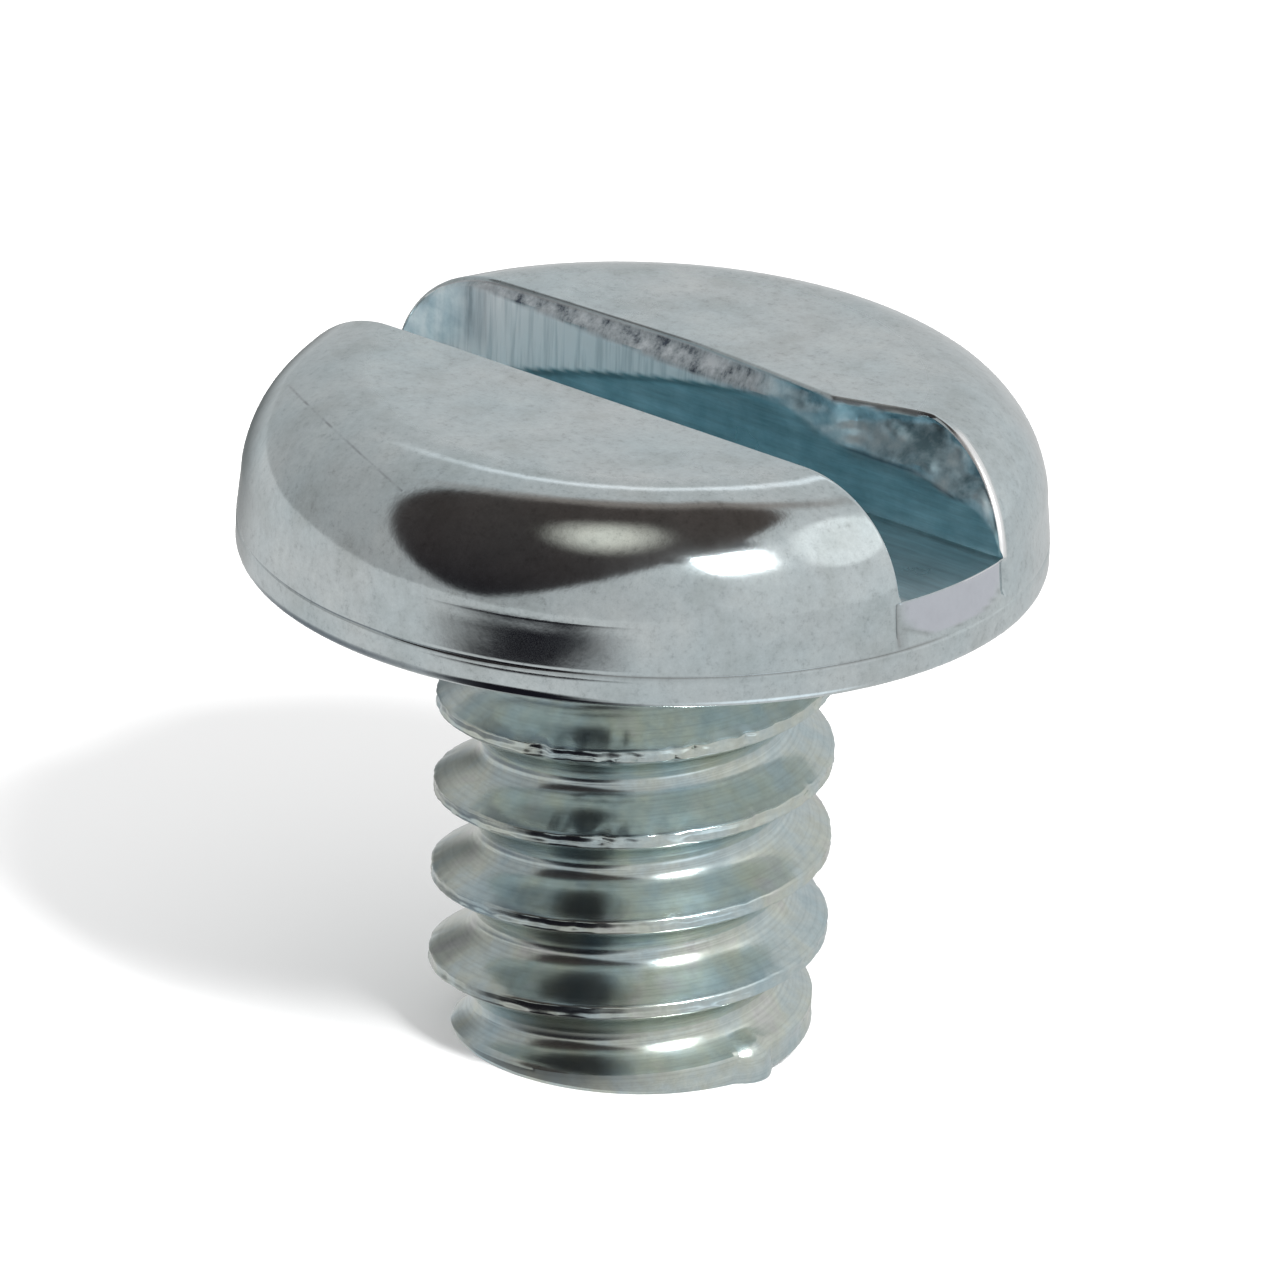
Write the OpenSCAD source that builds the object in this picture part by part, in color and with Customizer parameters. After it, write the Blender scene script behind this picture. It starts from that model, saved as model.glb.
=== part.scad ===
// Short machine screw: a round slotted pan head on a fully threaded shank with a blunt, tapered tip.
// It stands on its tip. +Z is the axis, towards the head, and the driving slot runs along X.
// Lengths are in millimetres.

/* [Head] */
// Diameter of the head, across the upright band at its foot
head_d = 9.32; // [8.8:0.02:10.2]
// Height of the head above its bearing face
head_h = 2.23; // [1.9:0.01:2.9]
// Radius that rounds the head over from its side to its flat top
crown_r = 1.4; // [1.2:0.02:1.5]
// Angle by which the head's side leans inwards, from its upright band to the rounding
side_taper = 5; // [4:0.5:8]
// Height of the upright band at the foot of the side
band_h = 0.4; // [0.3:0.01:0.45]
// Radius on the head's lower edge
rim_r = 0.15; // [0.05:0.01:0.28]

/* [Slot] */
// Width of the driving slot
slot_w = 1.84; // [1.2:0.02:2.2]
// Depth of the driving slot below the head's flat top
slot_depth = 1.25; // [0.9:0.01:1.6]

/* [Thread] */
// Outside diameter of the thread
major_d = 4.62; // [4.3:0.01:5.2]
// Height that one turn of the thread climbs
pitch = 1.058; // [0.95:0.001:1.2]
// Depth of the thread, from its crest to its root
thread_depth = 0.54; // [0.4:0.01:0.6]
// Width of the flat on the thread's crest
crest_w = 0.13; // [0.08:0.01:0.2]
// Angle between the two flanks of the thread
flank_angle = 60; // [50:1:62]
// Direction, seen from the head, in which the thread's crest leaves the tip's end face
start_angle = 292; // [0:1:359]

/* [Shank] */
// Length from the tip's end face to the head's bearing face
shank_l = 5.84; // [4.8:0.01:9]
// How much the tip's taper takes off the thread's radius at the end face
tip_cut = 0.25; // [0.15:0.01:0.5]
// Length of that taper
tip_l = 0.9; // [0.4:0.01:1.6]
// Length of the plain neck where the thread runs out under the head, with its fillet
neck_l = 0.4; // [0.35:0.05:0.6]
// Radius of the fillet between the neck and the bearing face
fillet_r = 0.3; // [0.2:0.01:0.35]
// Radius of the burr left on the end face's edge where the thread starts
burr_r = 0.35; // [0.25:0.01:0.4]
// Height of the burr's upright part, below its round top
burr_h = 0.15; // [0.05:0.01:0.3]
// Direction of the burr, seen from the head
burr_angle = 355; // [0:1:359]

/* [Hidden] */

head_r = head_d / 2;
// The leaning side ends where the crown's arc touches it, this high and this far in from the band
side_top = head_h - crown_r * (1 - sin(side_taper));
side_in = (side_top - band_h) * tan(side_taper);
flat_r = head_r - side_in - crown_r * cos(side_taper);
major_r = major_d / 2;
root_r = major_r - thread_depth;
tip_r = major_r - tip_cut;
// The fillet ends this far outside the thread, so that the bearing face stands clear of the crests
face_gap = 0.06;
neck_r = major_r + face_gap - fillet_r;
// The burr stops this far inside the full crest
burr_gap = 0.07;
// Facets of the round shapes: around the axis, on the crown, and on small edges
round_facets = 144;
crown_facets = 128;
edge_facets = 48;
// A shape that cuts another reaches this far past it
cut_margin = 1;
// The root isn't sharp: its middle lies this much deeper than the ends of the flanks
root_dip = 0.04;
// The shank reaches this far into the head, so that the two are one solid
root_in_head = 0.4;
grid_top = shank_l + root_in_head;
steps = 72;
turns = ceil(grid_top / pitch) + 2;
flank_run = tan(flank_angle / 2);

// How far out the crest stands where its middle is at height z: the tip's taper cuts it down
function crest_r(z) = max(root_r + root_dip, min(major_r, tip_r + (major_r - tip_r) * z / tip_l));

// Half the crest's width at radius r
function half_crest(r) = crest_w / 2 + (major_r - r) * flank_run;

// Height of the middle of the crest of turn t, at angle a
function crest_z(t, a) = pitch * (t + (a - start_angle) / 360);

// The section of one turn at angle a, from the root below the crest up: points [radius, height]
function turn_section(t, a) =
    let (z = crest_z(t, a), r = crest_r(z), foot = half_crest(root_r + root_dip))
    [
        [root_r, z - pitch / 2],
        [root_r + root_dip, z - foot],
        [r, z - half_crest(r)],
        [r, z + half_crest(r)],
        [root_r + root_dip, z + foot],
    ];

// Radius at height z of a section's line from point p to point q
function radius_between(p, q, z) = p[0] + (q[0] - p[0]) * (z - p[1]) / (q[1] - p[1]);

// Radius of the whole section s, a list of points in rising order, at height z
function radius_at(s, z) =
    let (k = max([for (i = [0 : len(s) - 2]) if (s[i][1] <= z) i]))
    radius_between(s[k], s[k + 1], z);

// The section at angle a over the shank's whole height: what lies past an end is drawn in to that end
function column(a) =
    let (s = [for (t = [-1 : turns]) each turn_section(t, a)])
    [for (p = s) p[1] < 0 ? [radius_at(s, 0), 0]
        : p[1] > grid_top ? [radius_at(s, grid_top), grid_top] : p];

module threaded_shank() {
    columns = [for (i = [0 : steps - 1]) column(i * 360 / steps)];
    per_turn = len(turn_section(0, 0));
    rows = len(columns[0]);
    points = [for (i = [0 : steps - 1], p = columns[i])
        [p[0] * cos(i * 360 / steps), p[0] * sin(i * 360 / steps), p[1]]];
    centres = [[0, 0, 0], [0, 0, grid_top]];
    // One turn on, a column's rows carry on in the first column one turn higher
    function id(i, j) = i < steps ? i * rows + j : min(j + per_turn, rows - 1);
    sides = [for (i = [0 : steps - 1], j = [0 : rows - 2]) each [
        [id(i, j), id(i, j + 1), id(i + 1, j + 1)],
        [id(i, j), id(i + 1, j + 1), id(i + 1, j)]
    ]];
    all_points = concat(points, centres);
    bottom = [for (i = [0 : steps - 1]) [len(points), id(i, 0), id(i + 1, 0)]];
    top = [for (i = [0 : steps - 1]) [len(points) + 1, id(i + 1, rows - 1), id(i, rows - 1)]];
    function whole(f) = all_points[f[0]] != all_points[f[1]] && all_points[f[1]] != all_points[f[2]]
        && all_points[f[2]] != all_points[f[0]];
    polyhedron(all_points, [for (f = concat(sides, bottom, top)) if (whole(f)) f]);
}

// Half of the head's section, from the axis to the rim
module head_section() {
    difference() {
        intersection() {
            square([head_r, head_h]);
            union() {
                polygon([
                    [0, 0],
                    [head_r, 0],
                    [head_r, band_h],
                    [head_r - side_in, side_top],
                    [flat_r, head_h],
                    [0, head_h]
                ]);
                translate([flat_r, head_h - crown_r]) circle(crown_r, $fn = crown_facets);
            }
        }
        difference() {
            translate([head_r - rim_r, 0]) square(rim_r);
            translate([head_r - rim_r, rim_r]) circle(rim_r, $fn = edge_facets);
        }
    }
}

// Plain neck and fillet where the shank meets the head
module neck() {
    translate([0, 0, shank_l - neck_l])
        cylinder(r = neck_r, h = neck_l + root_in_head, $fn = round_facets);
    translate([0, 0, shank_l - fillet_r]) rotate_extrude($fn = round_facets) difference() {
        square([neck_r + fillet_r, fillet_r]);
        translate([neck_r + fillet_r, 0]) circle(fillet_r, $fn = edge_facets);
    }
}

// Bead of metal pushed out where the thread starts
module burr() {
    rotate(burr_angle) translate([major_r - burr_gap - burr_r, 0, 0]) {
        cylinder(r = burr_r, h = burr_h, $fn = edge_facets);
        translate([0, 0, burr_h]) intersection() {
            sphere(burr_r, $fn = edge_facets);
            cylinder(r = burr_r + cut_margin, h = burr_r + cut_margin, $fn = edge_facets);
        }
    }
}

module head() {
    difference() {
        translate([0, 0, shank_l]) rotate_extrude($fn = round_facets) head_section();
        translate([-head_r - cut_margin, -slot_w / 2, shank_l + head_h - slot_depth])
            cube([head_d + 2 * cut_margin, slot_w, slot_depth + cut_margin]);
    }
}

module screw() {
    color("silver") {
        threaded_shank();
        neck();
        burr();
        head();
    }
}

screw();
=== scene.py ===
"""Short zinc plated machine screw standing on its tip: visible mesh, finish, studio and camera."""

import math

import bmesh
import bpy
import numpy as np
from mathutils import Matrix, Vector, noise


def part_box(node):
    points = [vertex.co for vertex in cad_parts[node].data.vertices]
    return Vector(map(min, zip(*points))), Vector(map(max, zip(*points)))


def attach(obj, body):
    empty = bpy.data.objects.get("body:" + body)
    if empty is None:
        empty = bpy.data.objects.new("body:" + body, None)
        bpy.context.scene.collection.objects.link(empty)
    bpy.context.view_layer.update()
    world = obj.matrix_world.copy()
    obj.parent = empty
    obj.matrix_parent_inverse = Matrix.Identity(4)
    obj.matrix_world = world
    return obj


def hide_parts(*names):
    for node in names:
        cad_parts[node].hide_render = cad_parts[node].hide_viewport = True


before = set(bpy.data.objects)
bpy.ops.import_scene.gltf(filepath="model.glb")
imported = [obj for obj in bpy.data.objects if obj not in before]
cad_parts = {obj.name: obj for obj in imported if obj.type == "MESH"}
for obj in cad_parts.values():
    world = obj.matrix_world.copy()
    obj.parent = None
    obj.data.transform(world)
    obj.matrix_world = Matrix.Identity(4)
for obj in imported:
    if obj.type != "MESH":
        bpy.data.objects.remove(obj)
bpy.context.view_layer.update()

# Sizes are in millimetres, and this turns them into metres
MM = 0.001
LOW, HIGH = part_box("screw")

# Head
TOP = HIGH.z / MM
HEAD_R = (HIGH.x - LOW.x) / 2 / MM
HEAD_H = 2.23
CROWN_R = 1.4
SIDE_TAPER = math.radians(5)
BAND_H = 0.4
RIM_R = 0.15
BEARING = TOP - HEAD_H
BAND_TOP = BEARING + BAND_H
CROWN_Z = TOP - CROWN_R
SIDE_TOP = TOP - CROWN_R * (1 - math.sin(SIDE_TAPER))
SIDE_IN = (SIDE_TOP - BEARING - BAND_H) * math.tan(SIDE_TAPER)
FLAT_R = HEAD_R - SIDE_IN - CROWN_R * math.cos(SIDE_TAPER)

# Slot along X; the far wall is the one at +Y, and its edge is a little sharper
SLOT_HALF = 0.92
SLOT_DEPTH = 1.25
FLOOR = TOP - SLOT_DEPTH
FLOOR_ANGLE = math.asin((FLOOR - CROWN_Z) / CROWN_R)
FLOOR_R = FLAT_R + CROWN_R * math.cos(FLOOR_ANGLE)
NEAR_EDGE_R = 0.05
FAR_EDGE_R = 0.04

# Wear of the head. Dents in the crown: place along X and Y, size and depth
DENTS = ((3.0, -2.6, 0.45, 0.012), (-3.2, -2.4, 0.6, 0.01), (2.6, 2.6, 0.7, 0.012))
# Depth of the waves in its skin and side
WAVE_DEPTH = 0.004
# A flat spot on the crown: its direction round the axis and up, and its depth
SPOT_DIRECTION = (math.radians(-20), math.radians(40))
SPOT_DEPTH = 0.03
# A scratch on the crown: the plane it lies in, half its width, and where it starts and ends along X
SCRATCH_NORMAL = (0.301, 0.587, 0.751)
SCRATCH_OUT = 3.354
SCRATCH_HALF = 0.02
SCRATCH_FROM, SCRATCH_TO = -3.2, -0.2
# The fine line scored round the head where the side meets its upright band: depth and half its width
LINE_DEPTH = 0.012
LINE_HALF = 0.012
# Metal pushed out under the slot's +X end: half its width, how far down it reaches, and its creases
TONGUE_HALF = 0.955
TONGUE_LONG = 0.52
CREASE_HALF = 0.035
CREASE_DEPTH = 0.05
FOLD_DEPTH = 0.02
# The burr on the far wall's +X end, made brighter as a painted highlight: where it starts along X, and its
# width
BRIGHT_FROM = 3.35
BRIGHT_W = 0.1
# How far from the slot's edge the skin follows a bite
FOLLOW = 1.1

# Wear of the far wall. Bites out of its edge: start, deepest place and end along X, and how far back
BITES = ((-4.6, -0.3, 2.1, 0.2), (1.9, 3.25, 4.5, 0.4))
BITE_POWER = 1.2
# How deep the break reaches at -X, and how that changes along X: by how much, from where, over what length
BREAK_DEPTH = 0.05
BREAK_CHANGES = ((0.2, -4.6, 5.7), (0.28, 1.1, 1.2), (-0.42, 3.5, 1.1))
# The sawn band ends in a step, an arc as round as the saw and shallowest near the +X end
SAW_R = 22.0
STEP_X = 3.5
STEP_TOP = 0.11
STEP_IN = 0.03
# Places along X: where the wall's rough -X end stops, where its torn end starts, where the sawn band fades
# out, and where the broken edge stops, just inside the crown
ROUGH_TO, TORN_FROM, SAWN_TO, WALL_END = -2.4, 1.0, 1.7, 4.4
# How far the torn end stands back and how rough it is, coarsely and finely
TORN_IN, TORN_COARSE, TORN_FINE = 0.03, 0.08, 0.03
# Depth of the saw's chatter marks on the wall and at its rough end
CHATTER, END_CHATTER = 0.004, 0.02

# Thread and neck
PITCH = 1.058
MAJOR_R = 2.31
THREAD_DEPTH = 0.54
CREST_W = 0.13
CREST_ROUND = 0.03
ROOT_ROUND = 0.26
FLANK_RUN = math.tan(math.radians(30))
START = math.radians(292)
TIP_CUT = 0.25
TIP_L = 0.9
BURR_R = 0.35
BURR_H = 0.15
BURR_AT = MAJOR_R - 0.07 - BURR_R
BURR_ANGLE = math.radians(355)
NECK_L = 0.4
FILLET_R = 0.3
FILLET_OUT = MAJOR_R + 0.06
# Wear of the thread: depth of the fine wear, and of the dents at their least and what the worst side adds
FINE_WEAR, DENT_LEAST, DENT_WORST = 0.014, 0.025, 0.15
# Where it is worst: from and to which height, and on which side
WORST_FROM, WORST_TO, WORST_SIDE = 2.9, 5.3, math.radians(315)
# The groove rolled into the crests, and the rounding of the end face's edge: depth, and width or height
CREST_GROOVE = (0.008, 0.022)
TIP_EDGE = (0.02, 0.04)

# Camera: the photograph's angle, a long lens
CAMERA_AZIMUTH = math.radians(38.83)
CAMERA_ELEVATION = math.radians(22.44)
CAMERA_ROLL = math.radians(2.15)
CAMERA_DISTANCE = 250.0
VIEW_WIDTH = 14.66
AIM_HEIGHT = 4.777
AIM_RIGHT = 0.015
SENSOR = 36.0

# Light: the camera sees a white world and pale paper, and the metal sees greys in their place. The world's
# grey is WORLD_GREY times a strength that grows from the picture's left to its right
WORLD_WHITE = 1.0
WORLD_GREY = 0.8
GREY_LEFT = 0.50
GREY_RIGHT = 0.90
FLOOR_GREY = 0.62
PAPER = 0.93
LAMP_DIRECTION = (math.radians(33), math.radians(49))
LAMP_DISTANCE = 150.0
LAMP_SIZE = (28.0, 36.0)
LAMP_POWER = 0.26
LAMP_DIFFUSE = 0.025

# Cards that only the metal sees. Their colours:
BLACK, BROWN = (0.01, 0.009, 0.013), (0.085, 0.066, 0.058)
SAND, UMBER = (0.80, 0.75, 0.66), (0.26, 0.22, 0.20)
DARK_GREY, COOL_GREY = (0.17, 0.18, 0.18), (0.22, 0.23, 0.25)
WHITE, COOL_WHITE, BLUE_WHITE = (1.05, 1.05, 1.04), (1.05, 1.06, 1.08), (1.05, 1.1, 1.15)
# Above the head and facing it: degrees to the picture's right of the camera and upwards, distance, width,
# length, colours at both ends of the length, and the share of the oval that its soft border takes
HEAD_CARDS = (
    ("dark_over", -48, 58, 80, 116, 244, BLACK, BROWN, 0.14),
    ("dark_right", 14, 63, 200, 150, 104, BLACK, BLACK, 0.3),
    ("warm_patch", -20, 70, 70, 40, 54, SAND, SAND, 0.9),
    ("brown_strip", 176, 70, 70, 110, 18, UMBER, UMBER, 0.9),
    ("back_light", 172, 44, 90, 96, 15, COOL_WHITE, COOL_WHITE, 0.8),
    ("right_light", 84, 44, 80, 66, 52, WHITE, WHITE, 0.8),
)
# Low down round the screw, the floor's lying and the last one upright: degrees to the picture's right,
# distance and height of its middle, degrees by which its length rises, width, length, colour and border
LOW_CARDS = (
    ("floor_far", -29, 40, 0.02, 0, 42, 44, BLACK, 0.6),
    # floor_mid and floor_near are black: painted shade on the floor round the screw, seen only in the metal
    ("floor_mid", -34, 9, 0.02, 0, 9, 11, BLACK, 0.5),
    ("floor_near", -34, 4.6, 0.04, 0, 7.5, 8, BLACK, 0.6),
    ("floor_left", -95, 9, 0.06, 0, 22, 13, COOL_GREY, 0.8),
    ("floor_right", 38, 7, 0.06, 0, 8, 6, BLUE_WHITE, 0.8),
    ("left_back", -150, 13, 3.8, 90, 17, 10, DARK_GREY, 1.0),
)

# What the mesh stores at its points for the material. All run from 0 to 1, and lay is a distance in pitches
MARKS = (
    "polish",  # the crown
    "band",  # the far wall's sawn band
    "broken",  # the far wall's broken edge and chattered -X end
    "shank",  # everything below the head
    "deep",  # the far wall outside the sawn band, and the slot's floor; their blue-grey is painted shade and reflection, partly the zinc's own blue
    "tongue",  # the metal pushed out under the slot's +X end
    "crease_shade",  # painted shade: a dark line in the crease below the broken edge
    "torn",  # where that edge is torn, and not only worn
    "burr",  # the burr at the slot's +X end, its brightness partly a painted highlight
    "line",  # painted shade in the scored line and in the creases of the head's side
    "lay",  # distance from the nearest crest
)
ZONE_SKIN, ZONE_NEAR_WALL, ZONE_FAR_WALL, ZONE_FLOOR, ZONE_SHANK = range(5)


def smooth_min(a, b, k):
    h = np.maximum(k - np.abs(a - b), 0) / k
    return np.minimum(a, b) - h * h * k / 4


def smooth_max(a, b, k):
    return -smooth_min(-a, -b, k)


def ease(t):
    t = np.clip(t, 0, 1)
    return t * t * (3 - 2 * t)


def rise(value, start, length):
    """0 up to the start and 1 from a length beyond it."""
    return ease((value - start) / length)


def fall(value, end, length):
    """1 up to a length before the end and 0 from the end on."""
    return ease((end - value) / length)


def bell(value, middle, width):
    """1 at the middle, fading on both sides of it."""
    return np.exp(-(((value - middle) / width) ** 2))


def grain(points, scale, seed):
    """Smooth noise from -1 to 1 at an array of points."""
    flat = points.reshape(-1, 3)
    values = [noise.noise(Vector((p[0] * scale + seed, p[1] * scale, p[2] * scale))) for p in flat]
    return np.array(values).reshape(points.shape[:-1])


def stretched(x, y, along, across):
    """Points for grain that is drawn out: the smaller a factor, the longer the grain runs that way."""
    return np.stack([x * along, y * across, x * 0], -1)


def on_cylinder(radius, angle, z):
    return np.stack([radius * np.cos(angle), radius * np.sin(angle), z + 0 * angle], -1)


def broken_back(x):
    """How far back the far wall's edge is broken at a place along the slot."""
    back = 0 * x
    for start, middle, end, most in BITES:
        reach = np.where(x < middle, middle - start, end - middle)
        back = np.maximum(back, most * (1 - np.clip(np.abs(x - middle) / reach, 0, 1) ** BITE_POWER))
    return back


def broken_down(x):
    """How deep that break reaches down the wall: most towards the +X end, where a piece is torn out."""
    depth = BREAK_DEPTH
    for change, start, length in BREAK_CHANGES:
        depth = depth + change * rise(x, start, length)
    return depth


def step_depth(x):
    return STEP_TOP + (x - STEP_X) ** 2 / (2 * SAW_R)


class Patches:
    """Grids of points in millimetres that share their borders, welded into one closed mesh."""

    WELD = 2e-5  # points this close are one

    def __init__(self):
        self.points, self.quads, self.zones, self.marks, self.count = [], [], [], [], 0

    def add(self, grid, zone, marks):
        rows, cols = grid.shape[:2]
        ids = np.arange(rows * cols).reshape(rows, cols) + self.count
        quads = np.stack([ids[:-1, :-1], ids[:-1, 1:], ids[1:, 1:], ids[1:, :-1]], -1).reshape(-1, 4)
        values = [marks.get(name, 0 * grid[..., 0]) for name in MARKS]
        self.points.append(grid.reshape(-1, 3))
        self.marks.append(np.stack(values, -1).reshape(-1, len(MARKS)))
        self.quads.append(quads)
        self.zones.append(np.full(len(quads), zone))
        self.count += rows * cols

    def welded(self):
        points = np.concatenate(self.points)
        keys = np.round(points / self.WELD).astype(np.int64)
        _, first, new = np.unique(keys, axis=0, return_index=True, return_inverse=True)
        quads = new.reshape(-1)[np.concatenate(self.quads)]
        faces, zones = [], []
        for quad, zone in zip(quads.tolist(), np.concatenate(self.zones).tolist()):
            face = [v for i, v in enumerate(quad) if v != quad[i - 1]]
            if len(face) >= 3 and len(set(face)) == len(face):
                faces.append(face)
                zones.append(zone)
        return points[first], faces, zones, np.concatenate(self.marks)[first]


def rim_columns():
    """Fractions from one end of half a rim to the other, close together at both ends."""
    length = HEAD_R * (math.pi - 2 * math.asin(SLOT_HALF / FLOOR_R))
    step, widest, growth = 0.012, 0.15, 1.28
    ends = [0.0]
    while step < widest:
        ends.append(ends[-1] + step)
        step *= growth
    middle = round((length - 2 * ends[-1]) / widest)
    spaced = np.linspace(ends[-1], length - ends[-1], middle + 1)
    return np.concatenate([ends[:-1], spaced, length - np.array(ends[:-1])[::-1]]) / length


def skin_profile():
    """Rows of the head's skin from the slot's middle to the floor's level: radius, height, slope normal."""
    flat_rows, crown_rows = 76, 49
    x = np.linspace(0, 1, flat_rows + 1) * math.sqrt(FLAT_R**2 - SLOT_HALF**2)
    flat = np.hypot(x, SLOT_HALF)
    a = np.linspace(math.pi / 2, FLOOR_ANGLE, crown_rows + 1)[1:]
    radius = np.concatenate([flat, FLAT_R + CROWN_R * np.cos(a)])
    height = np.concatenate([np.full(len(flat), TOP), CROWN_Z + CROWN_R * np.sin(a)])
    out = np.concatenate([np.zeros(len(flat)), np.cos(a)])
    up = np.concatenate([np.ones(len(flat)), np.sin(a)])
    return radius, height, out, up


def move_off_wall(x, y, amount):
    """Moves points away from the slot: straight on the flat, round the axis on the crown."""
    smallest_x = 0.5
    radius = np.hypot(x, y)
    turned = rise(radius, FLAT_R - 1.0, 0.9)
    angle = np.arctan2(y, x) + amount / np.where(np.abs(x) < smallest_x, smallest_x, x)
    new_x = x + (radius * np.cos(angle) - x) * turned
    new_y = (y + amount) + (radius * np.sin(angle) - y - amount) * turned
    return new_x, new_y


def pressed(x, y, z, out, up, amount):
    """Moves points of the skin inwards, against its slope normal."""
    around = np.arctan2(y, x)
    x, y = x - out * np.cos(around) * amount, y - out * np.sin(around) * amount
    return x, y, z - up * amount


def half_skin(side):
    """The head's skin on one side of the slot (side 1 is +Y), from the slot's edge round to its other end."""
    radius, height, out, up = (v[:, None] for v in skin_profile())
    first = np.arcsin(np.clip(SLOT_HALF / radius, -1, 1))
    angle = first + (math.pi - 2 * first) * rim_columns()[None, :]
    x, y = radius * np.cos(angle), radius * np.sin(angle)
    off = np.clip(y - SLOT_HALF, 0, None)
    edge_r = FAR_EDGE_R if side > 0 else NEAR_EDGE_R
    edge = np.clip(1 - off / edge_r, 0, 1)
    drop = edge_r * (1 - np.sqrt(np.clip(1 - edge**2, 0, 1))) * rise(height, FLOOR, 0.12)
    if side > 0:
        x, y = move_off_wall(x, y, broken_back(x) * (1 - rise(off, 0, FOLLOW)))
    x, y, z = pressed(x, y, height + 0 * x, out, up, drop)
    return worn_skin(np.stack([x, side * y, z], -1), out, up)


def worn_skin(grid, out, up):
    """Presses the shallow dents, the waves and the flat spot into the head's skin, never outwards."""
    x, y, z = np.moveaxis(grid, -1, 0)
    press = WAVE_DEPTH * (1 + grain(grid, 0.9, seed=3))
    for at_x, at_y, size, deep in DENTS:
        press = press + deep * np.exp(-((x - at_x) ** 2 + (y - at_y) ** 2) / size**2 * 2)
    press = press * rise(z, FLOOR, 0.25) * rise(np.abs(y), SLOT_HALF, 0.3)
    return np.stack(pressed(x, y, z, out, up, press + flattened(grid)), -1)


def flattened(grid):
    """How far the crown is cut back by the flat spot that a blow left beside the slot's +X end."""
    turn, lift = SPOT_DIRECTION
    normal = np.array([math.cos(lift) * math.cos(turn), math.cos(lift) * math.sin(turn), math.sin(lift)])
    untouched = FLAT_R * math.cos(lift) + CROWN_Z * math.sin(lift) + CROWN_R
    return np.clip(grid @ normal - untouched + SPOT_DEPTH, 0, None)


def slot_edge(skin):
    """The skin's border along the slot, in order from the -X end to the +X end."""
    return np.concatenate([skin[::-1, -1], skin[1:, 0]])


def wall(skin, side):
    """One wall of the slot, from the skin's border down to the floor."""
    rows, crowding, unevenness = 26, 1.15, 0.006
    foot_height, foot_depth = 0.08, 0.02
    edge = slot_edge(skin)
    t = np.linspace(0, 1, rows + 1)[:, None] ** crowding
    x, z = edge[None, :, 0], edge[None, :, 2]
    height = z + (FLOOR - z) * t
    down = z - height
    x = x + 0 * t
    y = np.full(x.shape, SLOT_HALF)
    if side > 0:
        y = y + far_wall_relief(x, height, down, TOP - height)
    else:
        y = y - unevenness * (1 + grain(stretched(x, height, 1, 0.2), 6, seed=9)) * rise(down, 0, 0.2)
    foot = 1 - np.clip((height - FLOOR) / foot_height, 0, 1)
    y = y - foot_depth * foot**2 * fall(np.abs(x), FLOOR_R, 0.3)
    grid = np.stack([x, side * y, height], -1)
    grid[0] = edge
    grid[:, 0], grid[:, -1] = edge[0], edge[-1]
    return grid


def far_wall_relief(x, height, down, depth):
    """How far the far wall stands back: broken edge, torn end, curved step and chatter marks."""
    back, deep = broken_back(x), broken_down(x)
    broken = back * (1 - rise(down, 0, deep)) ** 0.8
    torn = rise(x, TORN_FROM, 0.5) * fall(x, WALL_END, 0.3) * (1 - rise(down, deep * 0.8, deep * 0.5))
    lumps = stretched(x, height, 0.7, 1.7)
    rough = TORN_IN + TORN_COARSE * grain(lumps, 2.6, seed=1) + TORN_FINE * grain(lumps, 6.5, seed=2)
    step = STEP_IN * rise(depth, step_depth(x), 0.05) * fall(x, SAWN_TO, 0.6)
    chatter = CHATTER * grain(stretched(x, height, 9, 0.6), 2.2, seed=4)
    rough_end = fall(x, ROUGH_TO, 0.6) * grain(stretched(x, height, 4, 0.8), 2.0, seed=5)
    chatter = chatter + END_CHATTER * rough_end
    inside_borders = rise(down, 0, 0.05) * fall(np.abs(x), FLOOR_R, 0.25)
    return broken + (torn * rough + step + chatter) * inside_borders


def slot_floor(near, far):
    """The floor between the feet of both walls, with a round border at each end."""
    rows, unevenness = 14, 0.006
    across = np.linspace(0, 1, rows + 1)[:, None]
    y = near[-1][None, :, 1] + (far[-1] - near[-1])[None, :, 1] * across
    reach = np.sqrt(FLOOR_R**2 - y**2) / math.sqrt(FLOOR_R**2 - SLOT_HALF**2)
    x = (near[-1] + (far[-1] - near[-1]) * across[:, :, None])[..., 0] * reach
    grid = np.stack([x, y, np.full(x.shape, FLOOR)], -1)
    inner = fall(np.hypot(x, y), FLOOR_R, 0.3) * np.sin(np.pi * across)
    grid[..., 2] += unevenness * grain(stretched(x, y, 0.5, 5), 1.6, seed=6) * inner
    grid[0], grid[-1] = near[-1], far[-1]
    return grid


def lower_head(top_ring):
    """The head below the slot's floor: side, lower edge and bearing face, in to the fillet."""
    crown = [(FLAT_R + CROWN_R * math.cos(v), CROWN_Z + CROWN_R * math.sin(v))
             for v in np.linspace(FLOOR_ANGLE, SIDE_TAPER, 4)[1:]]
    leaning = list(np.linspace(SIDE_TOP, BAND_TOP + 0.06, 10)[1:])
    leaning += [BAND_TOP + v for v in (0.03, 0.012, 0)]
    side = [(HEAD_R - (z - BAND_TOP) * math.tan(SIDE_TAPER), z) for z in leaning]
    side += [(HEAD_R, z) for z in np.linspace(BAND_TOP - 0.02, BEARING + RIM_R, 4)]
    rim = [(HEAD_R - RIM_R + RIM_R * math.cos(v), BEARING + RIM_R - RIM_R * math.sin(v))
           for v in np.linspace(0, math.pi / 2, 7)[1:]]
    face = [(r, BEARING) for r in np.linspace(HEAD_R - RIM_R, FILLET_OUT, 8)[1:]]
    angle = np.arctan2(top_ring[:, 1], top_ring[:, 0])
    rings = [top_ring]
    for r, z in crown + side + rim + face:
        inward = tongue_grooves(angle, z) + LINE_DEPTH * bell(z, BAND_TOP, LINE_HALF) + side_waves(angle, z)
        rings.append(on_cylinder(r - inward, angle, z))
    return np.stack(rings)


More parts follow.
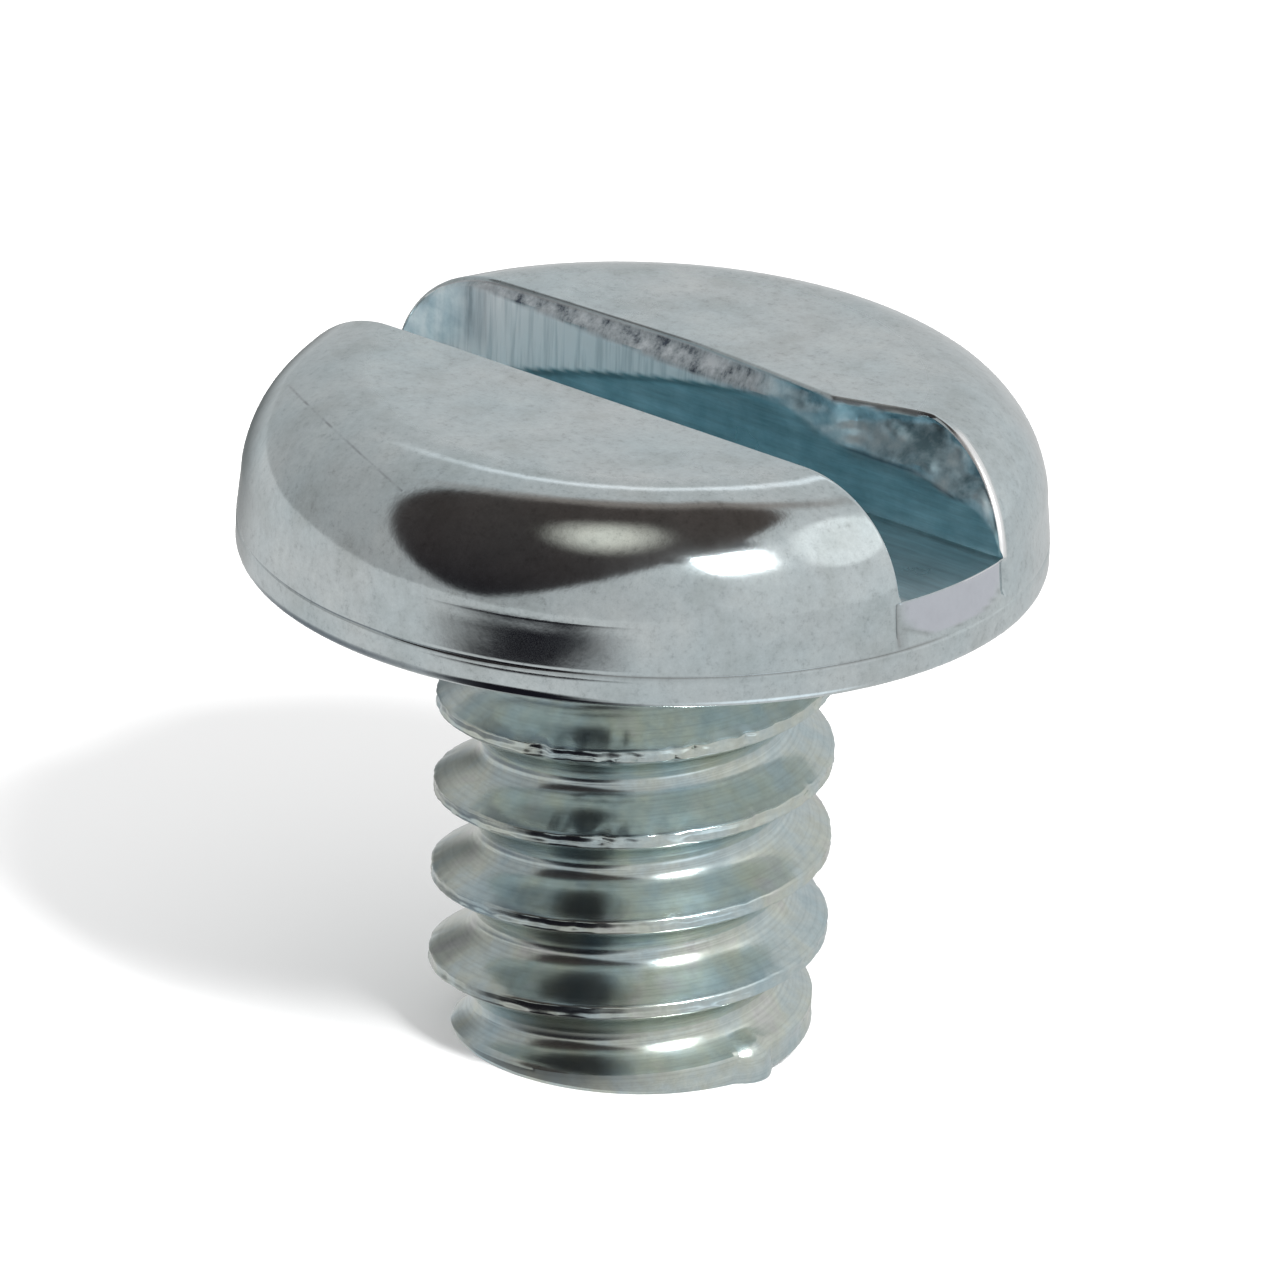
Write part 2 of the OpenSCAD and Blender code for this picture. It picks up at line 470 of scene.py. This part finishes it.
def side_waves(angle, z):
    """Slight unevenness of the head's side, none at its top border and on the bearing face."""
    free = fall(z, FLOOR, 0.15) * rise(z, BEARING + 0.02, 0.1)
    return WAVE_DEPTH * (1 + grain(on_cylinder(HEAD_R, angle, 1.6 * z), 1.5, seed=11)) * free


def tongue_grooves(angle, z):
    """Depth of the two creases beside the metal pushed out at the slot's +X end, and of the fold below it."""
    aside = np.abs(HEAD_R * np.sin(angle))
    below = FLOOR - z
    crease = bell(aside, TONGUE_HALF, CREASE_HALF) * fall(below, TONGUE_LONG, 0.15)
    fold = bell(below, TONGUE_LONG, 0.05) * fall(aside, TONGUE_HALF, 0.2)
    return (CREASE_DEPTH * crease + FOLD_DEPTH * fold) * rise(below, 0, 0.04) * (np.cos(angle) > 0)


def floor_ring(near_skin, far_skin, floor):
    """The closed ring of points at the floor's level, against the clock from the far half's +X end."""
    return np.concatenate([far_skin[-1], floor[::-1, 0][1:], near_skin[-1][::-1][1:], floor[:, -1][1:]])


def thread_rows():
    """Heights of one turn's rows about the crest's middle, closest on the crest."""
    half = [0.012, 0.03, 0.047, 0.06, 0.072, 0.09, 0.14, 0.19, 0.23,
            0.265, 0.3, 0.33, 0.36, 0.39, 0.42, 0.455, 0.49]
    return np.array([-PITCH / 2] + [-v for v in half[::-1]] + half)


def turns_from_crest(angle, z):
    """Signed distance along the axis from the nearest crest, in pitches."""
    turn = z / PITCH - (angle - START) / (2 * math.pi)
    return turn - np.round(turn)


def shank_radius(angle, z):
    """The shank's surface as a radius: thread, tapered tip, neck, and the burr where the thread starts."""
    away = turns_from_crest(angle, z) * PITCH
    off = np.abs(away)
    flank = MAJOR_R - np.clip(off - CREST_W / 2, 0, None) / FLANK_RUN
    crest = smooth_min(flank, np.full_like(flank, MAJOR_R + CREST_ROUND / 4), CREST_ROUND)
    groove_depth, groove_width = CREST_GROOVE
    crest = crest - groove_depth * bell(off, 0, groove_width)
    root_r = MAJOR_R - THREAD_DEPTH
    radius = smooth_max(crest, np.full_like(crest, root_r), ROOT_ROUND)
    taper_round, neck_round, burr_round = 0.03, 0.02, 0.04
    taper = MAJOR_R - TIP_CUT + TIP_CUT * (z - away) / TIP_L + taper_round / 4
    radius = smooth_min(radius, taper, taper_round)
    radius = smooth_max(radius, neck_radius(z), neck_round)
    radius = smooth_max(radius, burr_reach(angle, z), burr_round)
    return radius - scuffs(angle, z, off)


def neck_radius(z):
    into = np.clip(z - (BEARING - FILLET_R), 0, FILLET_R)
    fillet = FILLET_OUT - np.sqrt(np.clip(FILLET_R**2 - into**2, 0, None))
    return np.where(z > BEARING - NECK_L, fillet, 0.0)


def burr_reach(angle, z):
    """Radius of the lobe of metal left on the end face's edge: upright at its foot, with a round top."""
    turned = angle - BURR_ANGLE
    size = np.sqrt(np.clip(BURR_R**2 - np.clip(z - BURR_H, 0, None) ** 2, 0, None))
    half = size**2 - (BURR_AT * np.sin(turned)) ** 2
    reach = BURR_AT * np.cos(turned) + np.sqrt(np.clip(half, 0, None))
    return np.where((half > 0) & (np.cos(turned) > 0), reach, 0)


def scuffs(angle, z, off):
    """Fine wear of all crests, and dents in the upper turns that are deepest on one side."""
    points = on_cylinder(MAJOR_R, angle, z)
    upper_turns = rise(z, WORST_FROM, 0.9) * fall(z, WORST_TO, 0.3)
    side = bell((angle - WORST_SIDE + math.pi) % (2 * math.pi), math.pi, 0.7)
    dents = np.clip(grain(points, 5.5, seed=7) - 0.1, 0, 1)
    fine = FINE_WEAR * (1 + grain(points, 11, seed=8)) * fall(off, 0.12, 0.1)
    deep = dents * fall(off, 0.3, 0.25) * (DENT_LEAST + DENT_WORST * upper_turns * side)
    return (fine + deep) * rise(z, 0, 0.2) * fall(z, BEARING, 0.5)


def shank(ring):
    """The threaded shank below the bearing face; its rows climb with the thread."""
    first_turn, last_turn = -3, 8
    edge_depth, edge_height = TIP_EDGE
    angle = np.unwrap(np.arctan2(ring[:, 1], ring[:, 0]))
    angle[-1] = angle[0] + 2 * math.pi
    rows = np.concatenate([thread_rows() + PITCH * t for t in range(first_turn, last_turn + 1)])
    z = np.clip(rows[::-1, None] + PITCH * (angle[None, :] - START) / (2 * math.pi), 0, BEARING)
    wide = angle[None, :] + 0 * z
    radius = np.where(z >= BEARING - 1e-9, FILLET_OUT, shank_radius(wide, z))
    radius = radius - edge_depth * np.clip(1 - z / edge_height, 0, 1) ** 2
    return on_cylinder(radius, wide, z)


def tip_face(ring):
    """The end face, as rings that shrink to its middle."""
    return np.stack([ring * np.array([f, f, 1]) for f in (1, 0.97, 0.85, 0.6, 0.3, 0)])


def screw_mesh():
    """All patches of the screw, welded."""
    near, far = half_skin(-1), half_skin(1)
    near_wall, far_wall = wall(near, -1), wall(far, 1)
    floor = slot_floor(near_wall, far_wall)
    lower = lower_head(floor_ring(near, far, floor))
    threaded = shank(lower[-1])
    tip = tip_face(threaded[-1])
    lay = np.abs(turns_from_crest(np.arctan2(threaded[..., 1], threaded[..., 0]), threaded[..., 2]))
    patches = Patches()
    patches.add(near, ZONE_SKIN, crown_marks(near))
    patches.add(far, ZONE_SKIN, crown_marks(far))
    patches.add(near_wall, ZONE_NEAR_WALL, {})
    patches.add(far_wall, ZONE_FAR_WALL, far_wall_marks(far_wall))
    # The slot's floor gets the blue-grey of painted shade and reflection, a little less towards its ends
    patches.add(floor, ZONE_FLOOR, {"deep": 1 - 0.25 * rise(np.abs(floor[..., 0]), 2.0, 1.5)})
    patches.add(lower, ZONE_SKIN, crown_marks(lower))
    patches.add(threaded, ZONE_SHANK, {"shank": 1 + 0 * lay, "lay": lay})
    patches.add(tip, ZONE_SHANK, {"shank": 1 + 0 * tip[..., 0]})
    return patches.welded()


def crown_marks(grid):
    """Marks of the head's skin and side: polished crown, what lies round the slot's +X end, painted shade in
    the scored line and the lip's creases, and a painted highlight on the burr.
    """
    x, y, z = np.moveaxis(grid, -1, 0)
    polish = rise(np.hypot(x, y), FLAT_R - 0.05, 0.2)
    lip, fold_shade = lip_marks(x, y, (FLOOR - z) / TONGUE_LONG)
    angle = np.arctan2(y, x)
    # Painted shade in part of the scored line round the side, and in the lip's creases
    scored_line_shade = bell(z, BAND_TOP, 0.014) * rise(angle, -1.5, 0.5) * fall(angle, 0, 0.12)
    off_edge = y - (SLOT_HALF + broken_back(x))
    # The burr's rim, partly its own bright metal and partly a painted highlight
    burr = fall(off_edge, BRIGHT_W, 0.05) * rise(x, BRIGHT_FROM, 0.25) * rise(z, FLOOR - 0.05, 0.05) * (y > 0)
    return {"polish": polish, "tongue": lip, "burr": burr, "line": np.maximum(scored_line_shade, fold_shade)}


def lip_marks(x, y, below):
    """The lip under the slot's +X end and the painted shade of the creases along its side and foot; below is
    1 at its foot.
    """
    reach = TONGUE_HALF * np.sqrt(np.clip(1 - np.clip(below, 0, 1) ** 3, 0, 1))
    started = rise(below, 0, 0.06)
    lip = fall(np.abs(y), reach, 0.15) * started * (x > 0)
    crease = bell(y, -TONGUE_HALF, CREASE_HALF) * started * fall(below, 1.15, 0.2)
    hem = bell(np.abs(y), reach, 0.05) * rise(below, 0.45, 0.3) * fall(below, 1.05, 0.05)
    return lip, np.maximum(crease, 0.6 * hem) * (x > 0)


def far_wall_marks(grid):
    x, height = grid[..., 0], grid[..., 2]
    down = grid[:1, :, 2] - height
    deep = broken_down(x)
    band = fall(TOP - height, step_depth(x), 0.03) * fall(x, SAWN_TO - 0.2, 0.4)
    broken = (1 - rise(down, deep, 0.05)) * fall(x, WALL_END, 0.2) * rise(x, -3.6, 0.6)
    chattered = 0.75 * fall(x, -3.0, 0.3) * fall(down, 0.9, 0.3)
    # Painted shade: a dark line in the crease where the break ends, along its +X part
    crease_shade = bell(down, 1.05 * deep, 0.03) * rise(x, 1.8, 0.5) * fall(x, 4.0, 0.3)
    torn = rise(x, TORN_FROM - 0.3, 0.5) + fall(x, -3.2, 0.6)
    broken = np.maximum(broken, chattered)
    # deep marks the far wall below the sawn band for the blue-grey of painted shade and reflection
    return {"band": band, "broken": broken, "deep": 1 - band, "crease_shade": crease_shade, "torn": torn}


def build_screw():
    points, faces, zones, marks = screw_mesh()
    mesh = bpy.data.meshes.new("screw_visual")
    mesh.from_pydata((points * MM).tolist(), [], faces)
    zone = mesh.attributes.new("zone", "FLOAT", "FACE")
    zone.data.foreach_set("value", [float(z) for z in zones])
    for name, values in zip(MARKS, marks.T):
        stored = mesh.attributes.new(name, "FLOAT", "POINT")
        stored.data.foreach_set("value", np.ascontiguousarray(values, np.float32))
    mesh.validate()
    mesh.shade_smooth()
    mesh.set_sharp_from_angle(angle=math.radians(38))
    screw = bpy.data.objects.new("screw_visual", mesh)
    bpy.context.scene.collection.objects.link(screw)
    turn_faces_out(mesh)
    return screw


def turn_faces_out(mesh):
    """Turns the faces outwards, and prints whether the mesh is closed."""
    work = bmesh.new()
    work.from_mesh(mesh)
    bmesh.ops.recalc_face_normals(work, faces=work.faces)
    open_edges = sum(not edge.is_manifold for edge in work.edges)
    print("open or shared edges:", open_edges, "faces:", len(work.faces), "volume mm3:",
          round(work.calc_volume() / MM**3, 2))
    work.to_mesh(mesh)
    work.free()


class Nodes:
    """Short hand for building the nodes of a material or world."""

    def __init__(self, tree):
        self.tree = tree
        tree.nodes.clear()

    def add(self, kind, **values):
        node = self.tree.nodes.new(kind)
        for name, value in values.items():
            if name in node.inputs:
                node.inputs[name].default_value = value
            else:
                setattr(node, name, value)
        return node

    def link(self, a, b):
        self.tree.links.new(a, b)

    def noise(self, coords, scale, detail=4.0, roughness=0.55):
        node = self.add("ShaderNodeTexNoise", Scale=scale, Detail=detail, Roughness=roughness)
        self.link(coords, node.inputs["Vector"])
        return node.outputs["Fac"]

    def ramp(self, value, stops):
        node = self.add("ShaderNodeValToRGB")
        while len(node.color_ramp.elements) < len(stops):
            node.color_ramp.elements.new(0.5)
        for element, (place, colour) in zip(node.color_ramp.elements, stops):
            element.position = place
            element.color = (*colour, 1) if isinstance(colour, tuple) else (colour, colour, colour, 1)
        self.link(value, node.inputs["Fac"])
        return node.outputs["Color"]

    def math(self, operation, a, b=None):
        node = self.add("ShaderNodeMath", operation=operation)
        for socket, value in zip(node.inputs, (a, b)):
            if value is not None:
                self.fill(socket, value)
        return node.outputs[0]

    def multiply(self, a, b):
        node = self.add("ShaderNodeMix", data_type="RGBA", blend_type="MULTIPLY")
        factor, first, second = [socket for socket in node.inputs if socket.enabled]
        self.fill(factor, 1)
        self.link(a, first)
        self.link(b, second)
        return [socket for socket in node.outputs if socket.enabled][0]

    def mix(self, fac, a, b):
        node = self.add("ShaderNodeMix", data_type="RGBA")
        for socket, value in zip([socket for socket in node.inputs if socket.enabled], (fac, a, b)):
            self.fill(socket, value)
        return [socket for socket in node.outputs if socket.enabled][0]

    def fill(self, socket, value):
        """Sets a socket to a colour or a number, or links it to another node's output."""
        if isinstance(value, tuple):
            socket.default_value = (*value, 1)
        elif isinstance(value, (int, float)):
            socket.default_value = value
        else:
            self.link(value, socket)

    def mark(self, name):
        return self.add("ShaderNodeAttribute", attribute_name=name).outputs["Fac"]

    def stretch(self, coords, scale):
        node = self.add("ShaderNodeMapping")
        self.link(coords, node.inputs["Vector"])
        node.inputs["Scale"].default_value = scale
        return node.outputs[0]


def new_material(name):
    material = bpy.data.materials.new(name)
    material.use_nodes = True
    return material, Nodes(material.node_tree)


def slot_colour(n, coords, head):
    """The head's colour, with the slot's sawn band and broken edge, its far wall and floor darkened to
    blue-grey as painted shade and reflection, partly the zinc's own blue, and painted shade in the crease
    below the broken edge.
    """
    zone = n.mark("zone")
    inside = n.math("MULTIPLY", n.math("GREATER_THAN", zone, ZONE_SKIN + 0.5),
                    n.math("LESS_THAN", zone, ZONE_FLOOR + 0.5))
    upright = n.stretch(coords, (1, 1, 0.06))
    band = n.ramp(n.noise(upright, 14000, 3), [(0.34, (0.74, 0.79, 0.81)), (0.55, (0.96, 0.99, 1.0))])
    # Painted shade and reflection in the slot, partly the zinc's own blue: blue-grey on the far wall below
    # the sawn band and on the floor
    cloud = n.noise(coords, 2600, 4, 0.6)
    deep = n.ramp(cloud, [(0.35, (0.27, 0.45, 0.51)), (0.65, (0.37, 0.56, 0.62))])
    wall_colour = n.mix(n.mark("deep"), (0.66, 0.71, 0.73), deep)
    wall_colour = n.mix(n.mark("band"), n.multiply(wall_colour, tool_marks(n, coords)), band)
    flakes = n.ramp(n.noise(coords, 1900, 5, 0.6),
                    [(0.34, (0.17, 0.28, 0.33)), (0.48, (0.44, 0.61, 0.68)), (0.64, (0.74, 0.87, 0.91))])
    worn = n.ramp(n.noise(upright, 4200, 6, 0.7),
                  [(0.36, (0.10, 0.12, 0.15)), (0.47, (0.42, 0.47, 0.50)), (0.62, (0.66, 0.71, 0.74))])
    edge = n.mix(n.mark("torn"), worn, flakes)
    # Painted shade in the crease below the broken edge
    edge = n.mix(n.mark("crease_shade"), edge, (0.05, 0.06, 0.08))
    return n.mix(inside, head, n.mix(n.mark("broken"), wall_colour, edge))


def tool_marks(n, coords):
    """Faint streaks along the slot."""
    streaks = n.noise(n.stretch(coords, (0.08, 1, 1)), 9000, 4, 0.7)
    return n.ramp(streaks, [(0.3, 0.84), (0.5, 1.06), (0.7, 1.26)])


def head_colour(n, coords):
    """Cloudy, blotched and speckled grey, with the scratch, painted shade in the lines, a painted highlight
    on the burr's rim, and the lip.
    """
    clouds = n.ramp(n.noise(coords, 600, 3), [(0.3, (0.635, 0.735, 0.765)), (0.7, (0.71, 0.765, 0.775))])
    speckle = n.ramp(n.noise(coords, 9000, 6, 0.85), [(0.32, 0.72), (0.45, 0.95), (0.68, 1.08)])
    blotches = n.ramp(n.noise(coords, 1500, 4, 0.6),
                      [(0.35, (0.88, 0.88, 0.87)), (0.5, (0.98, 0.98, 0.98)), (0.66, (1.04, 1.03, 1.02))])
    plain = n.multiply(n.multiply(clouds, blotches), speckle)
    plain = n.mix(scratch(n, coords), plain, (0.30, 0.32, 0.34))
    # Painted shade in the scored line and the creases
    plain = n.mix(n.math("MULTIPLY", n.mark("line"), 0.75), plain, (0.30, 0.31, 0.31))
    # Painted highlight on the burr's rim, partly its own bright metal
    plain = n.mix(n.mark("burr"), plain, (0.97, 0.98, 0.98))
    return n.mix(n.math("MULTIPLY", n.mark("tongue"), 0.8), plain, (0.72, 0.74, 0.82))


def scratch(n, coords):
    """A fine straight scratch across the crown, where a plane meets it between two values of x."""
    across = n.add("ShaderNodeVectorMath", operation="DOT_PRODUCT")
    n.link(coords, across.inputs[0])
    across.inputs[1].default_value = SCRATCH_NORMAL
    off = n.math("ABSOLUTE", n.math("SUBTRACT", across.outputs["Value"], SCRATCH_OUT * MM))
    line = n.ramp(n.math("DIVIDE", off, SCRATCH_HALF * MM), [(0.2, 1.0), (1.0, 0.0)])
    split = n.add("ShaderNodeSeparateXYZ")
    n.link(coords, split.inputs[0])
    inside = n.math("MULTIPLY", n.math("GREATER_THAN", split.outputs["X"], SCRATCH_FROM * MM),
                    n.math("LESS_THAN", split.outputs["X"], SCRATCH_TO * MM))
    broken = n.ramp(n.noise(coords, 3000, 3), [(0.38, 0.1), (0.6, 0.75)])
    return n.math("MULTIPLY", n.math("MULTIPLY", line, inside), broken)


def shank_colour(n, coords):
    """Clouds of blue, green and brownish grey, with the fine lines left by the rolling and a speckle."""
    clouds = n.ramp(n.noise(coords, 1100, 4, 0.6),
                    [(0.30, (0.53, 0.66, 0.70)), (0.45, (0.62, 0.71, 0.71)),
                     (0.58, (0.67, 0.72, 0.65)), (0.72, (0.68, 0.68, 0.68))])
    lines = n.add("ShaderNodeTexNoise", noise_dimensions="1D", Scale=40, Detail=3)
    n.link(n.mark("lay"), lines.inputs["W"])
    rolled = n.ramp(lines.outputs["Fac"], [(0.34, 0.92), (0.5, 1.0), (0.66, 1.04)])
    speckle = n.ramp(n.noise(coords, 6000, 5, 0.75), [(0.3, 0.86), (0.6, 1.02)])
    return n.multiply(n.multiply(clouds, rolled), speckle)


def roughness(n, coords):
    """Satin on the flats, brighter on the crown and the thread, matt where the slot was sawn or broken."""
    changes = {"polish": -0.19, "burr": 0.3, "shank": -0.10, "band": 0.18, "broken": 0.12}
    value = n.math("ADD", 0.24, n.math("MULTIPLY", n.noise(coords, 900, 5), 0.10))
    for name, change in changes.items():
        value = n.math("ADD", value, n.math("MULTIPLY", n.mark(name), change))
    return value


def zinc_material():
    material, n = new_material("zinc")
    coords = n.add("ShaderNodeTexCoord").outputs["Object"]
    colour = n.mix(n.mark("shank"), slot_colour(n, coords, head_colour(n, coords)), shank_colour(n, coords))
    bump = n.add("ShaderNodeBump", Strength=0.12, Distance=0.00001)
    n.link(n.noise(coords, 4500, 4, 0.6), bump.inputs["Height"])
    shader = n.add("ShaderNodeBsdfPrincipled", Metallic=1.0)
    n.link(colour, shader.inputs["Base Color"])
    n.link(roughness(n, coords), shader.inputs["Roughness"])
    n.link(bump.outputs["Normal"], shader.inputs["Normal"])
    n.link(shader.outputs[0], n.add("ShaderNodeOutputMaterial").inputs["Surface"])
    return material


def direction(azimuth, elevation):
    """The direction from the screw at an angle round it from the camera, to the picture's right."""
    a, flat = CAMERA_AZIMUTH + azimuth, math.cos(elevation)
    return Vector((math.sin(a) * flat, -math.cos(a) * flat, math.sin(elevation)))


def add_camera():
    right = Vector((math.cos(CAMERA_AZIMUTH), math.sin(CAMERA_AZIMUTH), 0))
    back = direction(0, CAMERA_ELEVATION)
    up = back.cross(right)
    rolled = right * math.cos(CAMERA_ROLL) + up * math.sin(CAMERA_ROLL)
    camera = bpy.data.objects.new("camera", bpy.data.cameras.new("camera"))
    camera.data.sensor_width = SENSOR
    camera.data.lens = SENSOR * CAMERA_DISTANCE / VIEW_WIDTH
    camera.data.clip_start, camera.data.clip_end = 0.01, 5
    camera.location = (right * AIM_RIGHT + Vector((0, 0, AIM_HEIGHT)) + back * CAMERA_DISTANCE) * MM
    camera.rotation_mode = "QUATERNION"
    axes = Matrix((rolled, back.cross(rolled), back)).transposed()
    camera.rotation_quaternion = axes.to_quaternion()
    bpy.context.scene.collection.objects.link(camera)
    bpy.context.scene.camera = camera


def seen_in_metal(tree, plain, reflected):
    """Mixes two shaders: the second one is what shows in the screw's reflections."""
    path = tree.nodes.new("ShaderNodeLightPath")
    mix = tree.nodes.new("ShaderNodeMixShader")
    tree.links.new(path.outputs["Is Glossy Ray"], mix.inputs[0])
    tree.links.new(plain, mix.inputs[1])
    tree.links.new(reflected, mix.inputs[2])
    return mix.outputs[0]


def add_floor():
    """Pale paper; in the metal a plain grey."""
    bpy.ops.mesh.primitive_plane_add(size=1.2, location=(0, 0, 0))
    floor = bpy.context.object
    floor.name = "floor"
    material, n = new_material("paper")
    paper = n.add("ShaderNodeBsdfPrincipled", Roughness=0.9)
    n.fill(paper.inputs["Base Color"], (PAPER, PAPER, PAPER))
    glow = n.add("ShaderNodeEmission")
    n.fill(glow.inputs["Color"], (FLOOR_GREY, FLOOR_GREY, FLOOR_GREY))
    shader = seen_in_metal(n.tree, paper.outputs[0], glow.outputs[0])
    n.link(shader, n.add("ShaderNodeOutputMaterial").inputs["Surface"])
    floor.data.materials.append(material)
    return floor


def card_material(name, near, far, softness):
    """A glow that fades to nothing at an oval border and runs from one colour to another along the card."""
    material, n = new_material(name)
    place = n.add("ShaderNodeTexCoord").outputs["Generated"]
    middle = n.add("ShaderNodeVectorMath", operation="SUBTRACT")
    n.link(place, middle.inputs[0])
    middle.inputs[1].default_value = (0.5, 0.5, 0)
    flat = n.add("ShaderNodeVectorMath", operation="MULTIPLY")
    n.link(middle.outputs[0], flat.inputs[0])
    flat.inputs[1].default_value = (2, 2, 0)
    away = n.add("ShaderNodeVectorMath", operation="LENGTH")
    n.link(flat.outputs[0], away.inputs[0])
    shown = n.add("ShaderNodeMapRange", interpolation_type="SMOOTHSTEP")
    for key, value in (("From Min", 1 - softness), ("From Max", 1), ("To Min", 1), ("To Max", 0)):
        shown.inputs[key].default_value = value
    n.link(away.outputs["Value"], shown.inputs["Value"])
    split = n.add("ShaderNodeSeparateXYZ")
    n.link(place, split.inputs[0])
    glow = n.add("ShaderNodeEmission")
    n.link(n.mix(split.outputs["Y"], near, far), glow.inputs["Color"])
    mix = n.add("ShaderNodeMixShader")
    n.link(shown.outputs[0], mix.inputs[0])
    n.link(n.add("ShaderNodeBsdfTransparent").outputs[0], mix.inputs[1])
    n.link(glow.outputs[0], mix.inputs[2])
    n.link(mix.outputs[0], n.add("ShaderNodeOutputMaterial").inputs["Surface"])
    return material


def add_card(name, centre, across, along, width, length, near, far, softness):
    """An oval card, in millimetres, that shows only in the screw's reflections."""
    bpy.ops.mesh.primitive_plane_add(size=1)
    card = bpy.context.object
    card.name = name
    card.scale = (width * MM, length * MM, 1)
    card.location = centre * MM
    card.rotation_mode = "QUATERNION"
    axes = Matrix((across, along, across.cross(along))).transposed()
    card.rotation_quaternion = axes.to_quaternion()
    card.visible_camera = card.visible_diffuse = card.visible_shadow = False
    card.visible_transmission = card.visible_volume_scatter = False
    card.data.materials.append(card_material(name, near, far, softness))
    return card


def add_cards():
    """What the metal reflects: a dark shape leaning in from the front left, with paler patches on it."""
    up = Vector((0, 0, 1))
    cards = []
    for name, azimuth, elevation, distance, *look in HEAD_CARDS:
        away = direction(math.radians(azimuth), math.radians(elevation))
        aside = up.cross(away).normalized()
        cards.append(add_card(name, up * TOP + away * distance, aside, away.cross(aside), *look))
    for name, azimuth, distance, height, rising, width, length, colour, softness in LOW_CARDS:
        aside = direction(math.radians(azimuth + 90), 0)
        along = direction(math.radians(azimuth), math.radians(rising))
        centre = direction(math.radians(azimuth), 0) * distance + up * height
        cards.append(add_card(name, centre, aside, along, width, length, colour, colour, softness))
    return cards


def add_world():
    """White to the camera; in the metal a grey that is darker to the left."""
    world = bpy.data.worlds.new("studio")
    bpy.context.scene.world = world
    world.use_nodes = True
    n = Nodes(world.node_tree)
    white = n.add("ShaderNodeBackground", Color=(1, 1, 1, 1), Strength=WORLD_WHITE)
    grey = n.add("ShaderNodeBackground", Color=(WORLD_GREY, WORLD_GREY, WORLD_GREY, 1))
    coords = n.add("ShaderNodeTexCoord")
    aside = n.add("ShaderNodeVectorMath", operation="DOT_PRODUCT")
    aside.inputs[1].default_value = direction(math.pi / 2, 0)
    n.link(coords.outputs["Generated"], aside.inputs[0])
    level = n.add("ShaderNodeMapRange")
    for name, value in (("From Min", -1), ("From Max", 1), ("To Min", GREY_LEFT), ("To Max", GREY_RIGHT)):
        level.inputs[name].default_value = value
    n.link(aside.outputs["Value"], level.inputs["Value"])
    n.link(level.outputs[0], grey.inputs["Strength"])
    shader = seen_in_metal(n.tree, white.outputs[0], grey.outputs[0])
    n.link(shader, n.add("ShaderNodeOutputWorld").inputs["Surface"])


def add_lamp():
    """A soft lamp to the camera's right that gives the crown its highlight."""
    lamp = bpy.data.objects.new("key", bpy.data.lights.new("key", "AREA"))
    where = direction(*LAMP_DIRECTION)
    lamp.data.energy, lamp.data.shape, lamp.data.diffuse_factor = LAMP_POWER, "RECTANGLE", LAMP_DIFFUSE
    lamp.data.size, lamp.data.size_y = (size * MM for size in LAMP_SIZE)
    lamp.location = where * (LAMP_DISTANCE * MM)
    lamp.rotation_mode = "QUATERNION"
    lamp.rotation_quaternion = where.to_track_quat("Z", "Y")
    bpy.context.scene.collection.objects.link(lamp)
    return lamp


screw = build_screw()
screw.data.materials.append(zinc_material())
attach(screw, "root")
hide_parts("screw")

add_floor()
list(add_cards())
add_lamp()
add_world()
add_camera()
bpy.context.scene.view_settings.view_transform = "Standard"
